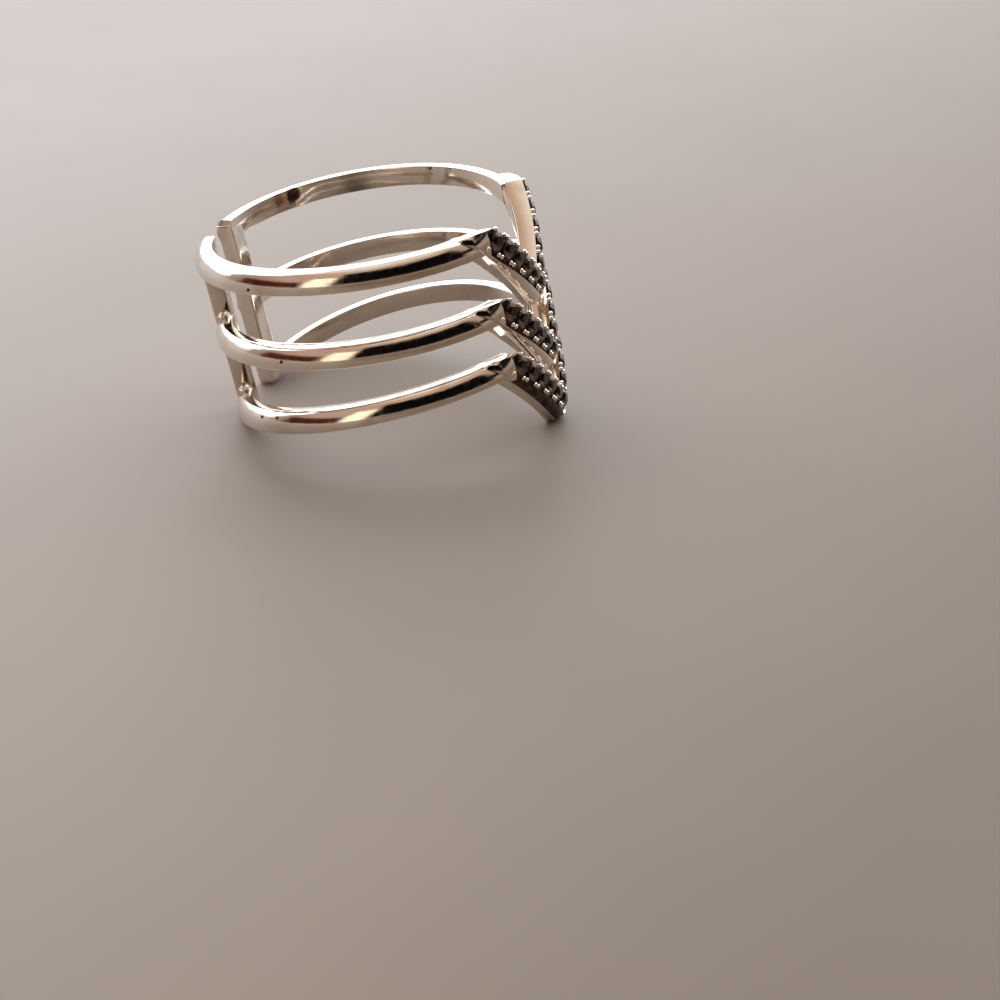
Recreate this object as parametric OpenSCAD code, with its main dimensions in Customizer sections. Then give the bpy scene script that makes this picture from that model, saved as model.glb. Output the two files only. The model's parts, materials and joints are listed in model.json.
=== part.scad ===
// Open-backed silver ring of three bands, each with a stone-set V at the front.
// It lies as it rests by itself: on the tip of the lowest V and on the two back ends.
// Millimetres, Z up, front towards -Y, origin on the surface under the middle of the ring.

/* [Finger] */
// Inner diameter of the ring
finger_d = 17.3; // [15.5:0.1:20]
// Opening between the two back ends, seen from the middle of the ring, in degrees
back_gap = 17.6; // [14:0.2:30]

/* [Bands] */
// Height of each band
band_h = 1.25; // [1:0.05:1.6]
// Thickness of each band where its domed outer face stands out most
band_t = 1.15; // [0.9:0.05:1.4]
// Radius of that dome
dome_r = 1.35; // [1.25:0.05:1.6]
// How far the dome's top lies below the band's middle, so that the face leans in upwards
dome_drop = 0.35; // [0.1:0.05:0.4]

/* [End bars] */
// Thickness of the upright bar that joins the three band ends
bar_t = 1.05; // [0.8:0.05:1.1]
// Width of that bar round the ring
bar_w = 1.2; // [1:0.1:2]

/* [V settings] */
// Distance from the finger hole's wall to the outer face of the V arms
arm_t = 1.35; // [1.2:0.05:1.6]
// How far their inner face stands back from the finger
arm_back = 0.2; // [0.1:0.05:0.25]
// Slope of a V's outer, lower edge from level, in degrees
outer_slope = 49.6; // [48:0.2:51]
// Slope of its inner, upper edge, which the stones follow
inner_slope = 44.2; // [43:0.2:46]
// Height of metal at the middle of a V
tip_h = 2; // [1.9:0.05:2.2]
// Place of the shoulders, where bands meet V arms, in degrees from the front
shoulder = 38; // [36:0.5:40]

/* [Stones] */
// Girdle diameter of a stone
stone_d = 1.08; // [1:0.02:1.1]
// Distance from stone to stone along an arm
stone_pitch = 1.19; // [1.18:0.01:1.22]
// Distance from the stones' middles to the V's upper edge
row_edge = 0.63; // [0.62:0.01:0.66]
// Stones on each arm, besides the one at the tip
stones_per_arm = 5; // [4:1:5]
// Clearance between a stone and its seat
seat_gap = 0.03; // [0.02:0.01:0.04]
// Diameter of the metal grains that hold the stones
grain_d = 0.24; // [0.18:0.02:0.24]

/* [Hidden] */
$fn = 48;

// One line for each band and its V: name, then the heights of the band's middle,
// as a tilted flat circle passes the back, the side and the front
BACK = 1;
SIDE = 2;
FRONT = 3;
rows = [
    ["upper",  4.62,  4.47,  3.74],
    ["middle", -0.06, 0.12, -0.42],
    ["lower", -5.02, -3.60, -3.88],
];
row_count = len(rows);

inner_r = finger_d / 2;
arm_r = inner_r + arm_t;
arm_in_r = inner_r + arm_back;
// All metal starts inside the finger hole, which is bored last
core_r = inner_r - 0.25;
back_end = 180 - back_gap / 2;
// Bands run on inside the arms as far as this, so that the two are one solid
band_start = shoulder - 11;
band_stop = back_end - 0.6;
corner_cut = 0.2;
bar_step = 0.03;
arm_step = 0.12;

// V outline, seen from the front: rise of its two edges, and half widths at the shoulder and the blunt tip
outer_rise = tan(outer_slope);
inner_rise = tan(inner_slope);
low_x = arm_r * sin(shoulder);
tip_x = 0.9;

stone_count = 2 * stones_per_arm + 1;
pitch_x = stone_pitch * cos(inner_slope);
girdle_proud = 0.02;
grain_sink = 0.02;
grain_side = 0.49;
grain_step = 0.48;

// Cut of a stone, as shares of its diameter
TABLE = 0.56;
CROWN = 0.16;
GIRDLE = 0.03;
PAVILION = 0.42;
MAINS = 8;

function pad(i) = i < 10 ? str("0", i) : str(i);
function stone_name(r, i) = str(rows[r][0], "_stone_", pad(i + 1));

// Height of a band's middle at angle a, counted from the front
function level(r) = (rows[r][FRONT] + rows[r][BACK]) / 2;
function band_z(r, a) =
    level(r) + (rows[r][FRONT] - rows[r][BACK]) / 2 * cos(a) + (rows[r][SIDE] - level(r)) * sin(a);
// Fall of a band's line at the shoulder, for each millimetre across the front
function shoulder_fall(r) =
    (band_z(r, shoulder) - band_z(r, band_start)) / (low_x - arm_r * sin(band_start));
function arm_top(r) = band_z(r, shoulder) + band_h / 2 + arm_step;
// Heights of the V's lower edge, upper edge and row of stones at half width x
function low_z(r, x) = arm_top(r) - (low_x - x) * outer_rise;
function high_z(r, x) = low_z(r, tip_x) + tip_h + x * inner_rise;
function row_z(r, x) = high_z(r, x) - row_edge / cos(inner_slope);

// Section of a band: level top and bottom, dome outside
module band_section() {
    intersection() {
        translate([core_r, -band_h / 2]) square([inner_r + band_t - core_r, band_h]);
        translate([inner_r + band_t - dome_r, -dome_drop]) circle(r = dome_r, $fn = 96);
    }
}

// Half of a band, from inside the arm to the back end
module half_band(r) {
    translate([0, 0, level(r)])
        rotate([atan((rows[r][BACK] - level(r)) / inner_r), -atan((rows[r][SIDE] - level(r)) / inner_r), 0])
            rotate([0, 0, band_start - 90])
                rotate_extrude(angle = band_stop - band_start, $fn = 120) band_section();
}

// Bar across the three band ends
module end_bar() {
    bottom = band_z(row_count - 1, back_end) - band_h / 2 + bar_step;
    top = band_z(0, back_end) + band_h / 2 - bar_step;
    outer = inner_r + bar_t;
    turn = bar_w / inner_r * 180 / PI;
    rotate([0, 0, back_end - turn - 90])
        rotate_extrude(angle = turn, $fn = 120)
            polygon([
                [core_r, bottom], [outer - corner_cut, bottom], [outer, bottom + corner_cut],
                [outer, top - corner_cut], [outer - corner_cut, top], [core_r, top]
            ]);
}

// The V, cut from a drum by its outline
module v_arms(r) {
    fall = shoulder_fall(r);
    top_x = (arm_top(r) - fall * low_x - high_z(r, 0)) / (inner_rise - fall);
    half = [[tip_x, low_z(r, tip_x)], [low_x, arm_top(r)], [top_x, high_z(r, top_x)], [0, high_z(r, 0)]];
    outline = concat(half, [for (i = [2:-1:0]) [-half[i][0], half[i][1]]]);
    intersection() {
        translate([0, 0, low_z(r, 0)]) difference() {
            cylinder(r = arm_r, h = arm_top(r) - low_z(r, 0) + 1, $fn = 120);
            translate([0, 0, -1]) cylinder(r = arm_in_r, h = arm_top(r) - low_z(r, 0) + 3, $fn = 120);
        }
        translate([0, -inner_r / 2, 0]) rotate([90, 0, 0]) linear_extrude(arm_r) polygon(outline);
    }
}

// Place of stone i on row r, or of what lies s steps along the row from its tip
function step_x(s) = s * pitch_x;
module on_row(r, s, across = 0, out = 0) {
    x = step_x(s) - sign(s) * across * sin(inner_slope);
    z = row_z(r, abs(step_x(s))) + across * cos(inner_slope);
    translate([0, 0, z]) rotate([90, 0, asin(x / arm_r)]) translate([0, 0, arm_r + out]) children();
}

// Hole that a stone sits in: straight at the girdle, then a cone
module seat() {
    r = stone_d / 2 + seat_gap;
    depth = (PAVILION + GIRDLE) * stone_d + 2 * seat_gap;
    straight = 0.06;
    translate([0, 0, -straight]) cylinder(r = r, h = 1, $fn = 24);
    translate([0, 0, -depth]) cylinder(r1 = 0.02, r2 = r, h = depth - straight, $fn = 24);
}

// Four small metal grains round each stone, in a row along each edge of the arm
module grains(r) {
    for (i = [0:stone_count - 1], end = [-1, 1], side = [-1, 1])
        on_row(r, i - stones_per_arm + end * grain_step, side * grain_side, -grain_sink)
            sphere(d = grain_d, $fn = 16);
}

module v_seats(r) {
    for (i = [0:stone_count - 1]) on_row(r, i - stones_per_arm, 0, girdle_proud) seat();
}

// Round stone with a table, star, kite and girdle facets, and a pointed back
module cut_stone(d) {
    r = d / 2;
    table_r = r * TABLE;
    half_turn = 180 / MAINS;
    top_z = (CROWN + GIRDLE / 2) * d;
    edge_z = GIRDLE / 2 * d;
    star_r = (table_r * cos(half_turn) + r) / 2;
    star_z = edge_z + (top_z - edge_z) * (r - star_r * cos(half_turn)) / (r - table_r);
    girdle = 2 * MAINS;
    table_ring = [for (k = [0:MAINS - 1]) let (a = 2 * k * half_turn) [table_r * cos(a), table_r * sin(a), top_z]];
    star_ring = [for (k = [0:MAINS - 1]) let (a = (2 * k + 1) * half_turn)
        [star_r * cos(a), star_r * sin(a), star_z]];
    edge_rings = [for (z = [edge_z, -edge_z], k = [0:girdle - 1]) let (a = k * half_turn)
        [r * cos(a), r * sin(a), z]];
    star = MAINS;
    upper = 2 * MAINS;
    lower = upper + girdle;
    culet = lower + girdle;
    crown = [for (k = [0:MAINS - 1])
        let (next = (k + 1) % MAINS, before = (k + MAINS - 1) % MAINS, g = upper + 2 * k)
        each [
            [k, next, star + k],
            [k, star + k, star + before],
            [star + before, star + k, g],
            [star + k, g + 1, g],
            [star + k, upper + (2 * k + 2) % girdle, g + 1]
        ]];
    walls = [for (k = [0:girdle - 1]) let (n = (k + 1) % girdle)
        each [[upper + k, upper + n, lower + k], [upper + n, lower + n, lower + k], [lower + k, lower + n, culet]]];
    polyhedron(
        concat(table_ring, star_ring, edge_rings, [[0, 0, -(PAVILION + GIRDLE / 2) * d]]),
        concat([[for (k = [MAINS - 1:-1:0]) k]], crown, walls)
    );
}

// Rest: the ring leans back until the lowest tip and the back ends touch the surface
tip_y = sqrt(pow(arm_in_r, 2) - pow(tip_x, 2));
tip_z = low_z(row_count - 1, tip_x);
heel_r = inner_r + band_t - dome_r + sqrt(pow(dome_r, 2) - pow(band_h / 2 - dome_drop, 2));
heel_y = heel_r * cos(180 - band_stop);
heel_z = level(row_count - 1) + (band_z(row_count - 1, band_stop) - level(row_count - 1)) * heel_r / inner_r
    - band_h / 2;
lean = atan2(heel_z - tip_z, tip_y + heel_y);
rest_z = -(tip_y * sin(lean) + tip_z * cos(lean));
stone_y = -(arm_r + girdle_proud + (CROWN + GIRDLE / 2) * stone_d) * cos(lean)
    + (row_z(row_count - 1, 0) - stone_d * TABLE / 2) * sin(lean);
front_y = min(stone_y, tip_z * sin(lean) - arm_r * cos(lean));
back_y = (inner_r + bar_t) * cos(back_gap / 2) * cos(lean)
    + (band_z(0, back_end) + band_h / 2 - bar_step - corner_cut) * sin(lean);
module at_rest() {
    translate([0, -(front_y + back_y) / 2, rest_z]) rotate([-lean, 0, 0]) children();
}

module silver_ring() {
    color("silver") at_rest() difference() {
        union() {
            for (r = [0:row_count - 1]) {
                v_arms(r);
                half_band(r);
                mirror([1, 0, 0]) half_band(r);
                grains(r);
            }
            end_bar();
            mirror([1, 0, 0]) end_bar();
        }
        translate([0, 0, -4 * finger_d]) cylinder(r = inner_r, h = 8 * finger_d, $fn = 120);
        for (r = [0:row_count - 1]) v_seats(r);
    }
}

module set_stone(r, i) {
    color([0.27, 0.22, 0.19]) at_rest() on_row(r, i - stones_per_arm, 0, girdle_proud) cut_stone(stone_d);
}

silver_ring();
for (r = [0:row_count - 1], i = [0:stone_count - 1])
    set_stone(r, i);
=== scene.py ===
import bpy
import json
import math
from mathutils import Matrix, Vector, noise

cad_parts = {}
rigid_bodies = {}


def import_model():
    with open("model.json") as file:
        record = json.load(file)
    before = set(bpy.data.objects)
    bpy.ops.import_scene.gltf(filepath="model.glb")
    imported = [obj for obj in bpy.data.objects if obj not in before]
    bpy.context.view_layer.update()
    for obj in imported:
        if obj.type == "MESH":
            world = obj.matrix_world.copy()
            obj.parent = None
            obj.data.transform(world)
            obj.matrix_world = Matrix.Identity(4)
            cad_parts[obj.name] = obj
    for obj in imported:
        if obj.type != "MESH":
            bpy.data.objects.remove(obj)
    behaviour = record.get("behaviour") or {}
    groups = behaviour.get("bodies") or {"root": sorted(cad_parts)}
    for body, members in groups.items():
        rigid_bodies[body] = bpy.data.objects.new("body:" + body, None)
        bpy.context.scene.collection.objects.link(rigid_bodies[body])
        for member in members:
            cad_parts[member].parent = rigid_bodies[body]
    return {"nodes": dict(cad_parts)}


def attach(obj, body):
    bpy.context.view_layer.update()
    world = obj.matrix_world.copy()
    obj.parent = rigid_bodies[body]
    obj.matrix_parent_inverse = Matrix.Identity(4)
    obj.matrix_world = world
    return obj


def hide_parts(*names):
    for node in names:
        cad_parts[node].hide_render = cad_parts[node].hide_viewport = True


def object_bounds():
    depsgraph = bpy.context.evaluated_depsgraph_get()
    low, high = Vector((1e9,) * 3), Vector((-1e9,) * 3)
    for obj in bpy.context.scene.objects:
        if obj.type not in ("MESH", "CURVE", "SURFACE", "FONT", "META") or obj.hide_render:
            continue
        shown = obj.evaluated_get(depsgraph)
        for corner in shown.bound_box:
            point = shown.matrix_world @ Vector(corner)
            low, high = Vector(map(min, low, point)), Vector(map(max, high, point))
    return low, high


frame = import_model()
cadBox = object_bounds()
print("frame loaded,", len(frame["nodes"]), "nodes")

mm = 0.001
degree = math.pi / 180
tiny = 0.001               # in millimetres, less than between any two points that are told apart

# The ring is built upright round Z in millimetres, then laid down as it rests
ring = {
    "fingerRadius": 8.65,
    "backEnd": 171.2,      # where the end bars stop, degrees from the front
    "bandInset": 0.6,      # the bands stop this many degrees before that, inside the bars
    "shoulder": 38.0,      # where a band meets its V arm
    "armRadius": 10.0,     # outer face of the V arms
    "armBack": 0.2,        # how far their inner face stands back from the finger
    "armStep": 0.12,       # how far they stand above their band
    "outerSlope": 49.6,    # lower edge of a V
    "innerSlope": 44.2,    # upper edge, which the stones follow
    "tipHalf": 0.9,        # half width of the blunt tip of a V
    "tipMetal": 2.0,       # height of metal at the middle of a V
    "rowEdge": 0.63,       # from the stones' middles to the upper edge
    "bandHeight": 1.25,
    "bandThickness": 1.15,
    "domeRadius": 1.35,
    "domeDrop": 0.35,      # how far the dome's top lies below the band's middle
    "barThickness": 1.05,
    "barStep": 0.03,       # how far inside the bands' outlines the bars end
    "barCorner": 0.2,      # cut off the solids' bars, and so needed to find the middle of their box
}

# Heights of each band's middle, as a tilted flat circle passes the back, the side and the front
rows = {
    "upper": {"back": 4.62, "side": 4.47, "front": 3.74},
    "middle": {"back": -0.06, "side": 0.12, "front": -0.42},
    "lower": {"back": -5.02, "side": -3.60, "front": -3.88},
}

stone = {
    "width": 1.08,
    "pitch": 1.19,
    "perArm": 5,           # besides the one over the tip
    "proud": 0.02,         # how far the girdle stands outside the arm's outer face
    # shares of the width
    "table": 0.56,
    "crown": 0.16,
    "girdle": 0.03,
    "pavilion": 0.42,
}


def eased(share):
    share = min(max(share, 0), 1)
    return share * share * (3 - 2 * share)


def softRamp(value, width):
    # zero below zero and the value itself above it, with a rounded corner
    return width * math.log(1 + math.exp(value / width))


def arcFall(radius, rise):
    # how far a circle has fallen away this far from its top, level beyond its two ends
    lowEnd = -0.9 * radius  # short of where the circle turns straight down
    rise = min(max(rise, lowEnd), radius)
    return radius - math.sqrt(radius ** 2 - rise ** 2)


def level(row):
    return (rows[row]["front"] + rows[row]["back"]) / 2


def bandHeightAt(row, angle):
    turn = angle * degree
    swing = (rows[row]["front"] - rows[row]["back"]) / 2
    return level(row) + swing * math.cos(turn) + (rows[row]["side"] - level(row)) * math.sin(turn)


outerRise = math.tan(ring["outerSlope"] * degree)
innerRise = math.tan(ring["innerSlope"] * degree)
lowX = ring["armRadius"] * math.sin(ring["shoulder"] * degree)
armInner = ring["fingerRadius"] + ring["armBack"]
bandEnd = ring["backEnd"] - ring["bandInset"]
barTop = bandHeightAt("upper", ring["backEnd"]) + ring["bandHeight"] / 2 - ring["barStep"]


def armTop(row):
    return bandHeightAt(row, ring["shoulder"]) + ring["bandHeight"] / 2 + ring["armStep"]


# Heights of a V's lower edge, upper edge and row of stones at half width x
def lowLine(row, x):
    return armTop(row) - (lowX - x) * outerRise


def highLine(row, x):
    return lowLine(row, ring["tipHalf"]) + ring["tipMetal"] + x * innerRise


def stoneLine(row, x):
    return highLine(row, x) - ring["rowEdge"] / math.cos(ring["innerSlope"] * degree)


def restPlace():
    # the ring leans back until the lowest tip and the two back ends touch the floor
    tipZ = lowLine("lower", ring["tipHalf"])
    tipY = math.sqrt(armInner ** 2 - ring["tipHalf"] ** 2)
    heelRadius = (ring["fingerRadius"] + ring["bandThickness"] - ring["domeRadius"]
                  + math.sqrt(ring["domeRadius"] ** 2 - (ring["bandHeight"] / 2 - ring["domeDrop"]) ** 2))
    heelY = heelRadius * math.cos((180 - bandEnd) * degree)
    heelZ = (level("lower") - ring["bandHeight"] / 2
             + (bandHeightAt("lower", bandEnd) - level("lower")) * heelRadius / ring["fingerRadius"])
    lean = math.atan2(heelZ - tipZ, tipY + heelY)
    height = -(tipY * math.sin(lean) + tipZ * math.cos(lean))
    # its box reaches from the tip or the lowest table to the upper ends of the bars
    crown = (stone["crown"] + stone["girdle"] / 2) * stone["width"]
    stoneReach = (-(ring["armRadius"] + stone["proud"] + crown) * math.cos(lean)
                  + (stoneLine("lower", 0) - stone["width"] * stone["table"] / 2) * math.sin(lean))
    frontReach = min(stoneReach, tipZ * math.sin(lean) - ring["armRadius"] * math.cos(lean))
    backReach = ((ring["fingerRadius"] + ring["barThickness"]) * math.cos((180 - ring["backEnd"]) * degree)
                 * math.cos(lean) + (barTop - ring["barCorner"]) * math.sin(lean))
    return lean, -(frontReach + backReach) / 2, height


# The camera looks down past the near side of the bands, with the V fronts at the right
view = {
    "aim": (-10.76, -8.87, 0.0),     # where the middle of the picture meets the floor, mm
    "heading": (0.8561, 0.1765, -0.4857),
    "up": (0.479, 0.081, 0.8727),
    "distance": 93.76,
    "lens": 61.2,
    "sensor": 36,
    "clip": (5, 20000),
}


def addCamera():
    aim = Vector(view["aim"]) * mm
    heading = Vector(view["heading"]).normalized()
    side = heading.cross(Vector(view["up"])).normalized()
    facing = Matrix((side, side.cross(heading), -heading)).transposed()
    bpy.ops.object.camera_add(location=aim - heading * view["distance"] * mm, rotation=facing.to_euler())
    camera = bpy.context.object
    camera.name = "studioCamera"
    camera.data.lens = view["lens"]
    camera.data.sensor_width = view["sensor"]
    camera.data.clip_start = view["clip"][0] * mm
    camera.data.clip_end = view["clip"][1] * mm
    bpy.context.scene.camera = camera
    bpy.context.scene.view_settings.view_transform = "Standard"


def deselectAll():
    for thing in bpy.context.view_layer.objects:
        thing.select_set(False)


def only(piece):
    deselectAll()
    piece.select_set(True)
    bpy.context.view_layer.objects.active = piece


def clearSelection(piece):
    bpy.ops.object.mode_set(mode="OBJECT")
    for part in (piece.data.vertices, piece.data.edges, piece.data.polygons):
        for item in part:
            item.select = False


def editFaces(piece, chosen):
    # selects the faces for which chosen(face) is true, ready for an edit mode operator
    clearSelection(piece)
    for face in piece.data.polygons:
        face.select = chosen(face)
    bpy.ops.object.mode_set(mode="EDIT")
    bpy.ops.mesh.select_mode(type="FACE")


def editEdges(piece, chosen):
    # selects the edges for which chosen(one end, other end) is true
    clearSelection(piece)
    points = piece.data.vertices
    for edge in piece.data.edges:
        edge.select = chosen(*(points[i].co for i in edge.vertices))
    bpy.ops.object.mode_set(mode="EDIT")
    bpy.ops.mesh.select_mode(type="EDGE")


def applyModifier(piece, kind, **settings):
    only(piece)
    modifier = piece.modifiers.new(kind.title(), kind)
    for name, value in settings.items():
        setattr(modifier, name, value)
    bpy.ops.object.modifier_apply(modifier=modifier.name)


def cutAway(piece, cutter, solver):
    applyModifier(piece, "BOOLEAN", operation="DIFFERENCE", object=cutter, solver=solver)
    bpy.data.objects.remove(cutter)


def joined(pieces, name):
    deselectAll()
    for piece in pieces:
        piece.select_set(True)
    bpy.context.view_layer.objects.active = pieces[0]
    bpy.ops.object.join()
    whole = bpy.context.object
    whole.name = name
    whole.data.name = name
    return whole


def recalculate(piece):
    only(piece)
    bpy.ops.object.mode_set(mode="EDIT")
    bpy.ops.mesh.select_all(action="SELECT")
    bpy.ops.mesh.normals_make_consistent(inside=False)
    bpy.ops.object.mode_set(mode="OBJECT")


def mirroredCopy(piece, name):
    only(piece)
    bpy.ops.object.duplicate()
    twin = bpy.context.object
    twin.name = name
    twin.scale.x = -1
    bpy.ops.object.transform_apply(location=True, rotation=True, scale=True)
    recalculate(twin)
    return twin


def placedCopies(pattern, places, name):
    copies = []
    for place in places:
        only(pattern)
        bpy.ops.object.duplicate()
        copy = bpy.context.object
        copy.matrix_world = place
        bpy.ops.object.transform_apply(location=True, rotation=True, scale=True)
        copies.append(copy)
    bpy.data.objects.remove(pattern)
    return joined(copies, name)


def layDown(piece):
    # millimetres round the upright axis become metres, leaning as it rests and centred on the frame's box
    lean, back, height = restPlace()
    middle = (cadBox[0].y + cadBox[1].y) / 2
    only(piece)
    piece.matrix_world = (Matrix.Translation((0, back * mm + middle, height * mm))
                          @ Matrix.Rotation(-lean, 4, "X") @ Matrix.Scale(mm, 4) @ piece.matrix_world)
    bpy.ops.object.transform_apply(location=True, rotation=True, scale=True)


def fromHex(code):
    # sRGB hex to linear
    parts = [int(code[i:i + 2], 16) / 255 for i in (1, 3, 5)]
    linear = [c / 12.92 if c <= 0.04045 else ((c + 0.055) / 1.055) ** 2.4 for c in parts]
    return (*linear, 1.0)


def node(tree, kind, inputs=None, **settings):
    # adds a node, sets its settings, and fills or links its inputs
    made = tree.nodes.new(kind)
    for name, value in settings.items():
        setattr(made, name, value)
    for name, value in (inputs or {}).items():
        if isinstance(value, bpy.types.NodeSocket):
            tree.links.new(value, made.inputs[name])
        else:
            made.inputs[name].default_value = value
    return made


def rampColours(made, stops):
    ramp = made.color_ramp
    while len(ramp.elements) > 1:
        ramp.elements.remove(ramp.elements[-1])
    ramp.elements[0].position = stops[0][0]
    ramp.elements[0].color = fromHex(stops[0][1])
    for place, code in stops[1:]:
        ramp.elements.new(place).color = fromHex(code)


def newMaterial(name):
    made = bpy.data.materials.new(name)
    made.use_nodes = True
    made.node_tree.nodes.clear()
    return made, made.node_tree


# Painted reflections: dark, pink and grey patches on the inside of the upper band, far side, in mm as the
# ring rests
paintedReflections = {
    "ragged": 0.6,         # how far noise moves their edges
    # each fades between its two radii
    "spots": [
        {"place": (6.15, 7.4, 10.95), "radii": (0.35, 0.6), "colour": "#4a3b34"},
        {"place": (5.35, 8.05, 10.8), "radii": (0.2, 0.6), "colour": "#b98a80"},
        {"place": (8.3, 4.0, 10.9), "radii": (0.3, 1.3), "colour": "#96918a"},
    ],
}


def polishedSterlingSilver():
    # cast, then tumbled and polished by hand: mirror bright, warm, with fine scuffs and a few painted
    # reflections
    made, tree = newMaterial("polishedSterlingSilver")
    place = node(tree, "ShaderNodeTexCoord").outputs["Object"]
    # waves of hand polishing about 3 mm long, and scuffs of 0.4 mm, drawn coarser than real so that they show
    broad = node(tree, "ShaderNodeTexNoise", {"Vector": place, "Scale": 350, "Detail": 3}).outputs["Fac"]
    scuffs = node(tree, "ShaderNodeTexNoise", {"Vector": place, "Scale": 2600, "Detail": 4}).outputs["Fac"]
    tint = node(tree, "ShaderNodeValToRGB", {"Fac": broad})
    rampColours(tint, [(0.28, "#d8c6b6"), (0.42, "#ece3d9"), (0.6, "#e6dbd0"), (0.78, "#dccbbb")])
    shine = node(tree, "ShaderNodeMapRange", {"Value": scuffs, "From Min": 0.35, "From Max": 0.7,
                                              "To Min": 0.07, "To Max": 0.16}).outputs["Result"]
    waves = node(tree, "ShaderNodeBump", {"Height": broad, "Strength": 0.12, "Distance": 0.0002})
    fine = node(tree, "ShaderNodeBump", {"Height": scuffs, "Strength": 0.06, "Distance": 0.00004,
                                         "Normal": waves.outputs["Normal"]})
    colour = tint.outputs["Color"]
    # each spot is a painted reflection, blended into the silver's colour
    for spot in paintedReflections["spots"]:
        gap = node(tree, "ShaderNodeVectorMath", {0: place, 1: [c * mm for c in spot["place"]]},
                   operation="DISTANCE").outputs["Value"]
        edge = node(tree, "ShaderNodeMath", {0: scuffs, 1: paintedReflections["ragged"] * mm, 2: gap},
                    operation="MULTIPLY_ADD").outputs[0]
        full, gone = ((radius + paintedReflections["ragged"] / 2) * mm for radius in spot["radii"])
        mask = node(tree, "ShaderNodeMapRange", {"Value": edge, "From Min": full, "From Max": gone,
                                                 "To Min": 1.0, "To Max": 0.0}).outputs["Result"]
        colour = node(tree, "ShaderNodeMix", {"Factor": mask, "A": colour, "B": fromHex(spot["colour"])},
                      data_type="RGBA").outputs["Result"]
    surface = node(tree, "ShaderNodeBsdfPrincipled", {
        "Base Color": colour, "Metallic": 1.0, "Roughness": shine, "Normal": fine.outputs["Normal"]})
    node(tree, "ShaderNodeOutputMaterial", {"Surface": surface.outputs["BSDF"]})
    return made


def roughSilver(name, colour, roughness, bumps):
    # silver that a tool or a torch has left rougher than the polished faces, in a grit of 0.2 mm
    made, tree = newMaterial(name)
    place = node(tree, "ShaderNodeTexCoord").outputs["Object"]
    grit = node(tree, "ShaderNodeTexNoise", {"Vector": place, "Scale": 6000, "Detail": 3}).outputs["Fac"]
    bump = node(tree, "ShaderNodeBump", {"Height": grit, "Strength": bumps, "Distance": 0.00005})
    surface = node(tree, "ShaderNodeBsdfPrincipled", {
        "Base Color": fromHex(colour), "Metallic": 1.0, "Roughness": roughness,
        "Normal": bump.outputs["Normal"]})
    node(tree, "ShaderNodeOutputMaterial", {"Surface": surface.outputs["BSDF"]})
    return made


def beadedSilver():
    # grains raised with a graver and rounded with a beading tool: small bright beads
    return roughSilver("beadedSilver", "#fbeee4", roughness=0.22, bumps=0.2)


def flowedSilverSolder():
    # flowed with a torch and left unpolished in the corners: pale and lumpy
    return roughSilver("flowedSilverSolder", "#f2e6da", roughness=0.3, bumps=0.9)


def tarnishAndPaintedShadeSilver():
    # silver sulphide left where polishing doesn't reach, and painted shade on the strip under the lowest row
    # for the floor's shadow it mirrors: brown-black patches half a millimetre wide
    made, tree = newMaterial("tarnishAndPaintedShadeSilver")
    place = node(tree, "ShaderNodeTexCoord").outputs["Object"]
    patches = node(tree, "ShaderNodeTexNoise", {"Vector": place, "Scale": 1800, "Detail": 3}).outputs["Fac"]
    tint = node(tree, "ShaderNodeValToRGB", {"Fac": patches})
    rampColours(tint, [(0.35, "#2a211c"), (0.75, "#6b5548")])
    surface = node(tree, "ShaderNodeBsdfPrincipled", {
        "Base Color": tint.outputs["Color"], "Metallic": 1.0, "Roughness": 0.35})
    node(tree, "ShaderNodeOutputMaterial", {"Surface": surface.outputs["BSDF"]})
    return made


def smokyCutStone():
    # cut and polished dark stone: glassy facets over a deep grey-brown body, clouded from stone to stone
    made, tree = newMaterial("smokyCutStone")
    place = node(tree, "ShaderNodeTexCoord").outputs["Object"]
    cloud = node(tree, "ShaderNodeTexNoise", {"Vector": place, "Scale": 700, "Detail": 2}).outputs["Fac"]
    body = node(tree, "ShaderNodeValToRGB", {"Fac": cloud})
    rampColours(body, [(0.35, "#55483e"), (0.7, "#806b5b")])
    surface = node(tree, "ShaderNodeBsdfPrincipled", {
        "Base Color": body.outputs["Color"], "Roughness": 0.02, "IOR": 1.6, "Transmission Weight": 1.0,
        "Specular Tint": fromHex("#d9bfa8")})
    node(tree, "ShaderNodeOutputMaterial", {"Surface": surface.outputs["BSDF"]})
    return made


def paleHonedStone():
    # plain honed stone: pale, matt and faintly mottled every 17 mm
    made, tree = newMaterial("paleHonedStone")
    place = node(tree, "ShaderNodeTexCoord").outputs["Object"]
    mottle = node(tree, "ShaderNodeTexNoise", {"Vector": place, "Scale": 60, "Detail": 4}).outputs["Fac"]
    tint = node(tree, "ShaderNodeValToRGB", {"Fac": mottle})
    rampColours(tint, [(0.3, "#cdc8c1"), (0.7, "#d2cdc7")])
    # painted shade: over 110 mm the floor is painted warm and dark in front and cool and light behind
    across = node(tree, "ShaderNodeVectorMath", {0: place, 1: (0.3, 0.95, 0.0)}, operation="DOT_PRODUCT")
    shadeShare = node(tree, "ShaderNodeMapRange", {"Value": across.outputs["Value"], "From Min": -0.045,
                                              "From Max": 0.065}).outputs["Result"]
    paintedShade = node(tree, "ShaderNodeValToRGB", {"Fac": shadeShare})
    rampColours(paintedShade, [(0.05, "#817263"), (0.22, "#978a7d"), (0.48, "#aaa097"), (0.96, "#bfbbb9")])
    mixed = node(tree, "ShaderNodeMix", {
        "Factor": 1.0, "A": tint.outputs["Color"], "B": paintedShade.outputs["Color"],
    }, data_type="RGBA", blend_type="MULTIPLY")
    surface = node(tree, "ShaderNodeBsdfPrincipled", {
        "Base Color": mixed.outputs["Result"], "Roughness": 0.6})
    node(tree, "ShaderNodeOutputMaterial", {"Surface": surface.outputs["BSDF"]})
    return made


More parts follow.
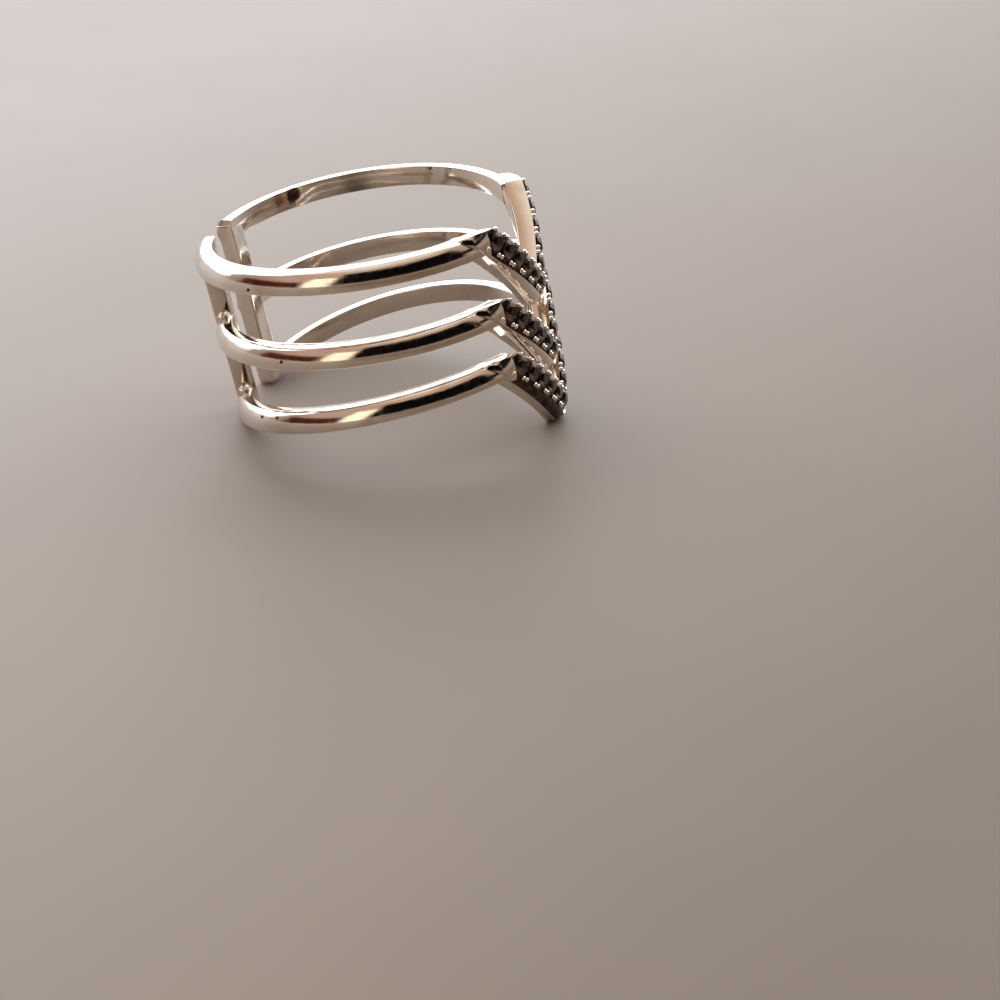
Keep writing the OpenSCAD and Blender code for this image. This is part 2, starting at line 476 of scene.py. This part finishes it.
looks = {
    "polished": polishedSterlingSilver(),
    "darkened": tarnishAndPaintedShadeSilver(),
    "beaded": beadedSilver(),
    "solder": flowedSilverSolder(),
}
print("materials of the metal made")


def polishedAndDarkened(piece):
    for look in (looks["polished"], looks["darkened"]):
        piece.data.materials.append(look)


def darkInside(cutter):
    # what a cutter leaves behind is the second material
    polishedAndDarkened(cutter)
    for face in cutter.data.polygons:
        face.material_index = 1


band = {
    "start": 27.0,         # hidden inside the V arm, degrees from the front
    "steps": 72,
    "cuts": 15,            # points on the domed face
    "topRound": 0.2,
    "edgeRound": 0.08,
    "innerStep": 0.015,    # how far it stays inside the solid's inner face
    "crestStep": 0.012,    # and inside its dome
}


def halfBand(row):
    # a plane 1 mm wide is shaped to the band's section, then spun round the finger
    half = ring["bandHeight"] / 2
    inner = ring["fingerRadius"] + band["innerStep"]
    outer = inner + 1
    crest = ring["fingerRadius"] + ring["bandThickness"] - band["crestStep"]
    bpy.ops.mesh.primitive_plane_add(size=1)
    piece = bpy.context.object
    piece.scale = (1, ring["bandHeight"], 1)
    piece.rotation_euler = (90 * degree, 0, 0)
    piece.location = (inner + 0.5, 0, 0)
    bpy.ops.object.transform_apply(location=True, rotation=True, scale=True)
    editEdges(piece, lambda a, b: min(a.x, b.x) > outer - tiny)
    bpy.ops.mesh.subdivide(number_cuts=band["cuts"])
    bpy.ops.object.mode_set(mode="OBJECT")
    for point in piece.data.vertices:
        if point.co.x > outer - tiny:
            # points crowd together towards the top, where the section turns over
            height = half * (2 * math.sin((point.co.z / half + 1) * 45 * degree) - 1)
            rounding = arcFall(band["topRound"], max(0, height - half + band["topRound"]))
            point.co = (crest - arcFall(ring["domeRadius"], height + ring["domeDrop"]) - rounding, 0, height)
    # its three sharp corners are rounded: both lower ones, and the inner one above
    for point in piece.data.vertices:
        corner = abs(abs(point.co.z) - half) < tiny
        point.select = corner and (point.co.z < 0 or point.co.x < inner + tiny)
    bpy.ops.object.mode_set(mode="EDIT")
    bpy.ops.mesh.select_mode(type="VERT")
    bpy.ops.mesh.bevel(affect="VERTICES", offset=band["edgeRound"], segments=4)
    bpy.ops.object.mode_set(mode="OBJECT")
    piece.rotation_euler.z = (band["start"] - 90) * degree
    bpy.ops.object.transform_apply(location=False, rotation=True, scale=False)
    bpy.ops.object.mode_set(mode="EDIT")
    bpy.ops.mesh.select_all(action="SELECT")
    bpy.ops.mesh.spin(steps=band["steps"], angle=-(bandEnd - band["start"]) * degree,
                      center=(0, 0, 0), axis=(0, 0, 1))
    bpy.ops.object.mode_set(mode="OBJECT")
    backTilt = math.atan((rows[row]["back"] - level(row)) / ring["fingerRadius"])
    sideTilt = math.atan((rows[row]["side"] - level(row)) / ring["fingerRadius"])
    piece.rotation_euler = (backTilt, -sideTilt, 0)
    piece.location.z = level(row)
    bpy.ops.object.transform_apply(location=True, rotation=True, scale=False)
    recalculate(piece)
    piece.name = row + "Band"
    polishedAndDarkened(piece)
    return piece


arm = {
    "columns": 90,
    "end": 0.25,           # the arm stops this short of the shoulder, inside the band
    "domeFall": 0.1,       # by the stones, the outer face falls away by this much towards the V's edges
    "skirtFall": 0.34,     # and by this much more below the stones
    "skirtSteps": 4,
    "edgeRound": 0.05,
    "innerRound": 0.16,
    "innerRoundEnd": 0.8,  # how far before the shoulder the rounding of the inner edges ends
    "shoulderRound": 0.05,
    "tipRound": 0.12,
    # lines at these distances below the upper edge, drawn together where the arm is narrower than full
    "lines": [0.0, 0.06, 0.09, 0.2, 0.3, 0.37, 0.43, 0.5, 0.6, 0.75, 0.9, 1.05, 1.2, 1.35, 1.46, 1.49],
    "full": 1.6,
    "channel": (0.08, 1.47),   # between these the ground of the stones is sunk
    "channelDepth": 0.1,
    "channelEnd": 5.6,     # in stones from the tip
    # how the arm becomes the band towards the shoulder
    "blendStart": 0.2,     # how far before the channel's end its face starts to turn into the band's
    "blendLength": 1.2,
    "domeShare": 0.65,     # how much of the band's dome it has on the plain stretch
    "roundLength": 0.9,    # length over which the band's rounded top edge sets in
    "stepLength": 0.25,    # length at its end over which it takes the whole dome and steps down to the band
    "sinkStart": 0.5,      # how far before its end its top starts to sink
    "sinkLength": 0.6,
}
channelX = arm["channelEnd"] * stone["pitch"] * math.cos(ring["innerSlope"] * degree)
armEnd = lowX - arm["end"]


def inChannel(x, below):
    return x < channelX and arm["channel"][0] < below < arm["channel"][1]


def shoulderTop(row, x):
    # the arm's level top, which sinks into the band at the shoulder
    slant = ((bandHeightAt(row, ring["shoulder"]) - bandHeightAt(row, band["start"]))
             / (lowX - ring["armRadius"] * math.sin(band["start"] * degree)))
    sunk = ring["armStep"] * eased((x - armEnd + arm["sinkStart"]) / arm["sinkLength"])
    return armTop(row) + slant * (x - lowX) - sunk


# The edges of a V as they are seen, with their corners rounded
def upperEdge(row, x):
    over = highLine(row, x) - shoulderTop(row, x)
    return highLine(row, x) - softRamp(over, arm["shoulderRound"])


def lowerEdge(row, x):
    flat = lowLine(row, ring["tipHalf"])
    return flat + softRamp(lowLine(row, x) - flat, arm["tipRound"])


def armFall(row, x, height, skirt):
    # how far the outer face lies inside the arms' drum: by the stones, then on the plain stretch,
    # which is domed like the band
    top, low = upperEdge(row, x), lowerEdge(row, x)
    share = (height - low) / (top - low) * 2 - 1
    stones = arm["domeFall"] * share ** 2 + arm["skirtFall"] * skirt ** 2
    angle = math.asin(x / ring["armRadius"]) / degree
    dome = arcFall(ring["domeRadius"], height - bandHeightAt(row, angle) + ring["domeDrop"])
    step = ring["armRadius"] - ring["fingerRadius"] - ring["bandThickness"]
    rounding = arcFall(band["topRound"], max(0, band["topRound"] - (top - height)))
    atEnd = eased((x - armEnd) / arm["stepLength"] + 1)
    plain = (dome * (arm["domeShare"] + (1 - arm["domeShare"]) * atEnd) + step * atEnd
             + rounding * eased((x - lowX) / arm["roundLength"] + 1))
    return stones + (plain - stones) * eased((x - channelX + arm["blendStart"]) / arm["blendLength"])


def armPoint(row, x, strip, outside):
    # where a point of the grid lies, so many lines below the upper edge, on the arm's outer or inner face
    lines = arm["lines"]
    slope = ring["innerSlope"] * degree
    top, low = upperEdge(row, x), lowerEdge(row, x)
    drawn = min(1, (top - low) * math.cos(slope) / arm["full"]) / math.cos(slope)
    skirt = max(0, strip + 1 - len(lines)) / arm["skirtSteps"]
    below = lines[min(strip, len(lines) - 1)]
    height = top - below * drawn
    height += (low - height) * skirt
    radius = armInner
    if outside:
        radius = ring["armRadius"] - armFall(row, x, height, skirt)
        if inChannel(x, below) and skirt == 0:
            radius -= arm["channelDepth"]
    return x, -math.sqrt(radius ** 2 - x ** 2), height


def vArms(row):
    # a grid is given a thickness and laid along one arm, then mirrored
    lines = arm["lines"]
    strips = len(lines) - 1 + arm["skirtSteps"]
    bpy.ops.mesh.primitive_grid_add(x_subdivisions=arm["columns"], y_subdivisions=strips, size=1)
    piece = bpy.context.object
    bpy.ops.object.mode_set(mode="EDIT")
    bpy.ops.mesh.select_all(action="SELECT")
    bpy.ops.mesh.extrude_region_move(TRANSFORM_OT_translate={"value": (0, 0, 1)})
    bpy.ops.object.mode_set(mode="OBJECT")
    # on the outer face the sunk ground of the stones is tarnished dark, and the strip under the lowest row
    # gets painted shade
    for face in piece.data.polygons:
        strip = int((0.5 - face.center.y) * strips)
        x = (face.center.x + 0.5) * armEnd
        if strip + 1 < len(lines):
            dark = inChannel(x, (lines[strip] + lines[strip + 1]) / 2)
        else:
            # painted shade: the lower row's strip under the stones is dark for the floor's shadow it mirrors
            dark = row == "lower" and x < channelX
        if dark and face.center.z > 1 - tiny:
            face.material_index = 1
    for point in piece.data.vertices:
        strip = round((0.5 - point.co.y) * strips)
        point.co = armPoint(row, (point.co.x + 0.5) * armEnd, strip, point.co.z > 0.5)
    recalculate(piece)
    # the wall in the middle of the V goes, so that the two halves close on each other
    editFaces(piece, lambda face: max(piece.data.vertices[i].co.x for i in face.vertices) < tiny)
    bpy.ops.mesh.delete(type="FACE")
    bpy.ops.object.mode_set(mode="OBJECT")
    applyModifier(piece, "MIRROR", use_clip=True, merge_threshold=tiny)
    recalculate(piece)

    def onInnerRim(point):
        x = abs(point.x)
        inside = math.hypot(point.x, point.y) < armInner + tiny
        rim = min(abs(point.z - lowerEdge(row, x)), abs(point.z - upperEdge(row, x))) < tiny
        return inside and rim and x < lowX - arm["innerRoundEnd"]

    editEdges(piece, lambda a, b: onInnerRim(a) and onInnerRim(b))
    bpy.ops.mesh.bevel(affect="EDGES", offset=arm["innerRound"], segments=5)
    bpy.ops.object.mode_set(mode="OBJECT")
    applyModifier(piece, "BEVEL", width=arm["edgeRound"], segments=3, limit_method="ANGLE",
                  angle_limit=50 * degree)
    piece.name = row + "Arms"
    polishedAndDarkened(piece)
    return piece


def onRow(row, steps, across=0.0, out=0.0):
    # where something lies, so many stones along a V from its tip, as a matrix whose Z points outwards
    slope = ring["innerSlope"] * degree
    middle = steps * stone["pitch"] * math.cos(slope)
    side = (steps > 0) - (steps < 0)
    x = middle - side * across * math.sin(slope)
    height = stoneLine(row, abs(middle)) + across * math.cos(slope)
    turn = Matrix.Rotation(math.asin(x / ring["armRadius"]), 4, "Z") @ Matrix.Rotation(90 * degree, 4, "X")
    return Matrix.Translation((0, 0, height)) @ turn @ Matrix.Translation((0, 0, ring["armRadius"] + out))


def stoneSteps():
    return range(-stone["perArm"], stone["perArm"] + 1)


# A stone's seat is a straight hole above and a cone below, as a drill leaves it
seat = {
    "gap": 0.03,           # clearance round the stone
    "straight": 0.06,      # how far the straight hole goes down from the girdle's middle
    "above": 0.8,          # how far it runs on outwards
    "point": 0.02,         # radius that the cone ends with
    "sides": 32,
}


def seatCutter(row):
    wide = stone["width"] / 2 + seat["gap"]
    cone = (stone["pavilion"] + stone["girdle"]) * stone["width"] + 2 * seat["gap"] - seat["straight"]
    bpy.ops.mesh.primitive_cone_add(vertices=seat["sides"], radius1=seat["point"], radius2=wide, depth=cone)
    pattern = bpy.context.object
    pattern.location.z = -seat["straight"] - cone / 2
    bpy.ops.object.transform_apply(location=True, rotation=False, scale=False)
    editFaces(pattern, lambda face: face.center.z > -seat["straight"] - tiny)
    bpy.ops.mesh.extrude_region_move(TRANSFORM_OT_translate={"value": (0, 0, seat["above"])})
    bpy.ops.object.mode_set(mode="OBJECT")
    darkInside(pattern)
    return placedCopies(pattern, [onRow(row, i, 0, stone["proud"]) for i in stoneSteps()], row + "Seats")


# Four grains hold each stone, two above the row and two below it, and step is in stones along it
grain = {"width": 0.28, "above": 0.52, "below": 0.62, "step": 0.37}


def grains(row):
    bpy.ops.mesh.primitive_ico_sphere_add(subdivisions=2, radius=grain["width"] / 2)
    pattern = bpy.context.object
    pattern.data.materials.append(looks["beaded"])
    places = [onRow(row, i + end * grain["step"], across)
              for i in stoneSteps() for end in (-1, 1) for across in (grain["above"], -grain["below"])]
    return placedCopies(pattern, places, row + "Grains")


# Casting pits that the photo shows, on the near side, in millimetres round the finger's axis
pits = {
    "width": 0.2,
    "places": [
        (-8.92, 4.01, 4.37),
        (-7.6, 5.86, -3.8),
        (-8.37, 4.63, -3.61),
        (-9.24, 3.11, 0.11),
        (-6.12, -7.57, -0.14),
    ],
}


def cutPits(piece):
    bpy.ops.mesh.primitive_ico_sphere_add(subdivisions=2, radius=pits["width"] / 2)
    pattern = bpy.context.object
    darkInside(pattern)
    cutter = placedCopies(pattern, [Matrix.Translation(place) for place in pits["places"]], "pitCutter")
    cutAway(piece, cutter, solver="FAST")


# Lumps of solder where the bars stand on the two lower bands
solder = {
    "size": (0.4, 0.46, 0.55),
    "angle": 163.0,        # from the front
    "radius": 9.15,        # from the finger's axis
    "rise": -0.12,         # from the band's top
    "swell": 0.25,         # share that broad noise adds or takes away
    "swellScale": 3,
    "rough": 0.05,         # millimetres that finer noise moves the surface, before the lump is placed
    "roughScale": 9,
}


def solderLumps():
    bpy.ops.mesh.primitive_ico_sphere_add(subdivisions=3, radius=1)
    pattern = bpy.context.object
    for point in pattern.data.vertices:
        swell = 1 + noise.noise(point.co * solder["swellScale"]) * solder["swell"]
        # each axis has its own stretch of the finer noise
        rough = [noise.noise(point.co * solder["roughScale"] + Vector((axis, 7, 3))) for axis in range(3)]
        point.co = [c * size * swell + shift * solder["rough"]
                    for c, size, shift in zip(point.co, solder["size"], rough)]
    pattern.data.materials.append(looks["solder"])
    turn = solder["angle"] * degree
    places = []
    for row in ("middle", "lower"):
        height = bandHeightAt(row, solder["angle"]) + ring["bandHeight"] / 2 + solder["rise"]
        for side in (-1, 1):
            spot = (side * solder["radius"] * math.sin(turn), -solder["radius"] * math.cos(turn), height)
            places.append(Matrix.Translation(spot) @ Matrix.Rotation(-side * (180 * degree - turn), 4, "Z"))
    return placedCopies(pattern, places, "solderLumps")


bar = {
    "width": 1.2,
    "edgeRound": 0.16,
    "steps": 10,
    "topBack": 0.3,        # how much lower it ends than the solid, inside the upper band's leaning face
}


def endBar():
    low = bandHeightAt("lower", ring["backEnd"]) - ring["bandHeight"] / 2 + ring["barStep"]
    high = barTop - bar["topBack"]
    turn = bar["width"] / ring["fingerRadius"]
    bpy.ops.mesh.primitive_plane_add(size=1)
    piece = bpy.context.object
    piece.scale = (ring["barThickness"], high - low, 1)
    piece.rotation_euler = (90 * degree, 0, 0)
    piece.location = (ring["fingerRadius"] + ring["barThickness"] / 2, 0, (low + high) / 2)
    bpy.ops.object.transform_apply(location=True, rotation=True, scale=True)
    piece.rotation_euler.z = (ring["backEnd"] - 90) * degree - turn
    bpy.ops.object.transform_apply(location=False, rotation=True, scale=False)
    bpy.ops.object.mode_set(mode="EDIT")
    bpy.ops.mesh.select_all(action="SELECT")
    bpy.ops.mesh.spin(steps=bar["steps"], angle=-turn, center=(0, 0, 0), axis=(0, 0, 1))
    bpy.ops.object.mode_set(mode="OBJECT")
    recalculate(piece)
    applyModifier(piece, "BEVEL", width=bar["edgeRound"], segments=4, limit_method="ANGLE",
                  angle_limit=40 * degree)
    piece.name = "endBar"
    piece.data.materials.append(looks["polished"])
    return piece


def makeMetal():
    parts = []
    for row in rows:
        arms = vArms(row)
        cutAway(arms, seatCutter(row), solver="EXACT")
        right = halfBand(row)
        left = mirroredCopy(right, row + "BandTwin")
        cutPits(left)
        if row == "middle":
            cutPits(arms)
        parts += [arms, grains(row), right, left]
        print("metal of the", row, "row made")
    rightBar = endBar()
    parts += [rightBar, mirroredCopy(rightBar, "endBarTwin"), solderLumps()]
    metal = joined(parts, "castMetal")
    only(metal)
    bpy.ops.object.shade_smooth_by_angle(angle=35 * degree)
    layDown(metal)
    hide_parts("silver_ring")
    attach(metal, "root")
    print("metal joined,", len(metal.data.polygons), "faces")


def dressStones():
    look = smokyCutStone()
    stones = [thing for name, thing in frame["nodes"].items() if "stone" in name]
    for thing in stones:
        thing.data.materials.clear()
        thing.data.materials.append(look)
    print(len(stones), "stones dressed")


def addFloor():
    bpy.ops.mesh.primitive_plane_add(size=4)
    floor = bpy.context.object
    floor.name = "studioFloor"
    floor.data.materials.append(paleHonedStone())


# What the silver mirrors: a room that brightens upwards, and big cards round the ring, in degrees
# Direction 0 is the front (-Y), 90 is +X, -90 is -X
studio = {
    "room": [(0, "#a5958a"), (35, "#b9a595"), (58, "#d2b49b"), (74, "#fff6ea"), (90, "#ffffff")],
    "cards": {
        "window": {"turn": (30, 176), "height": (6, 60), "soft": 8, "colour": "#f6f9ff", "strength": 3.6},
        "dark": {"turn": (-98, -4), "height": (4, 47), "soft": 3, "colour": "#0b0908", "strength": 1.0},
        "sill": {"turn": (-6, 22), "height": (13, 24), "soft": 2, "colour": "#1d1712", "strength": 1.0},
        "lamp": {"turn": (-118, -100), "height": (-9, 34), "soft": 3, "colour": "#ffeed4", "strength": 1.6},
        "wood": {"turn": (-168, -121), "height": (-9, 20), "soft": 4, "colour": "#5c2a1d", "strength": 0.8},
        "skin": {"turn": (-168, -121), "height": (24, 50), "soft": 8, "colour": "#c9a79c", "strength": 1.0},
    },
}


def addStudio():
    world = bpy.context.scene.world or bpy.data.worlds.new("studio")
    bpy.context.scene.world = world
    world.use_nodes = True
    tree = world.node_tree
    tree.nodes.clear()
    way = node(tree, "ShaderNodeTexCoord").outputs["Generated"]
    axes = node(tree, "ShaderNodeSeparateXYZ", {"Vector": way}).outputs
    front = node(tree, "ShaderNodeMath", {0: axes["Y"], 1: -1.0}, operation="MULTIPLY").outputs[0]
    aside = node(tree, "ShaderNodeMath", {0: axes["X"], 1: front}, operation="ARCTAN2").outputs[0]
    turn = node(tree, "ShaderNodeMath", {0: aside, 1: 1 / degree}, operation="MULTIPLY").outputs[0]
    rise = node(tree, "ShaderNodeMath", {0: axes["Z"]}, operation="ARCSINE").outputs[0]
    height = node(tree, "ShaderNodeMath", {0: rise, 1: 1 / degree}, operation="MULTIPLY").outputs[0]
    share = node(tree, "ShaderNodeMath", {0: height, 1: 1 / 90}, operation="MULTIPLY").outputs[0]
    room = node(tree, "ShaderNodeValToRGB", {"Fac": share})
    rampColours(room, [(angle / 90, code) for angle, code in studio["room"]])
    seen = room.outputs["Color"]

    def cardEdge(value, at, soft, before, beyond):
        # one soft edge of a card, as a share of it before and beyond that edge
        return node(tree, "ShaderNodeMapRange", {
            "Value": value, "From Min": at - soft, "From Max": at + soft, "To Min": before, "To Max": beyond,
        }, interpolation_type="SMOOTHSTEP").outputs["Result"]

    for card in studio["cards"].values():
        mask = cardEdge(turn, card["turn"][0], card["soft"], 0.0, 1.0)
        for edge in (cardEdge(turn, card["turn"][1], card["soft"], 1.0, 0.0),
                     cardEdge(height, card["height"][0], card["soft"], 0.0, 1.0),
                     cardEdge(height, card["height"][1], card["soft"], 1.0, 0.0)):
            mask = node(tree, "ShaderNodeMath", {0: mask, 1: edge}, operation="MULTIPLY").outputs[0]
        glow = [c * card["strength"] for c in fromHex(card["colour"])[:3]] + [1.0]
        seen = node(tree, "ShaderNodeMix", {"Factor": mask, "A": seen, "B": glow},
                    data_type="RGBA").outputs["Result"]
    light = node(tree, "ShaderNodeBackground", {"Color": seen})
    node(tree, "ShaderNodeOutputWorld", {"Surface": light.outputs["Background"]})


addCamera()
addFloor()
addStudio()
print("camera, floor and studio made")
makeMetal()
dressStones()
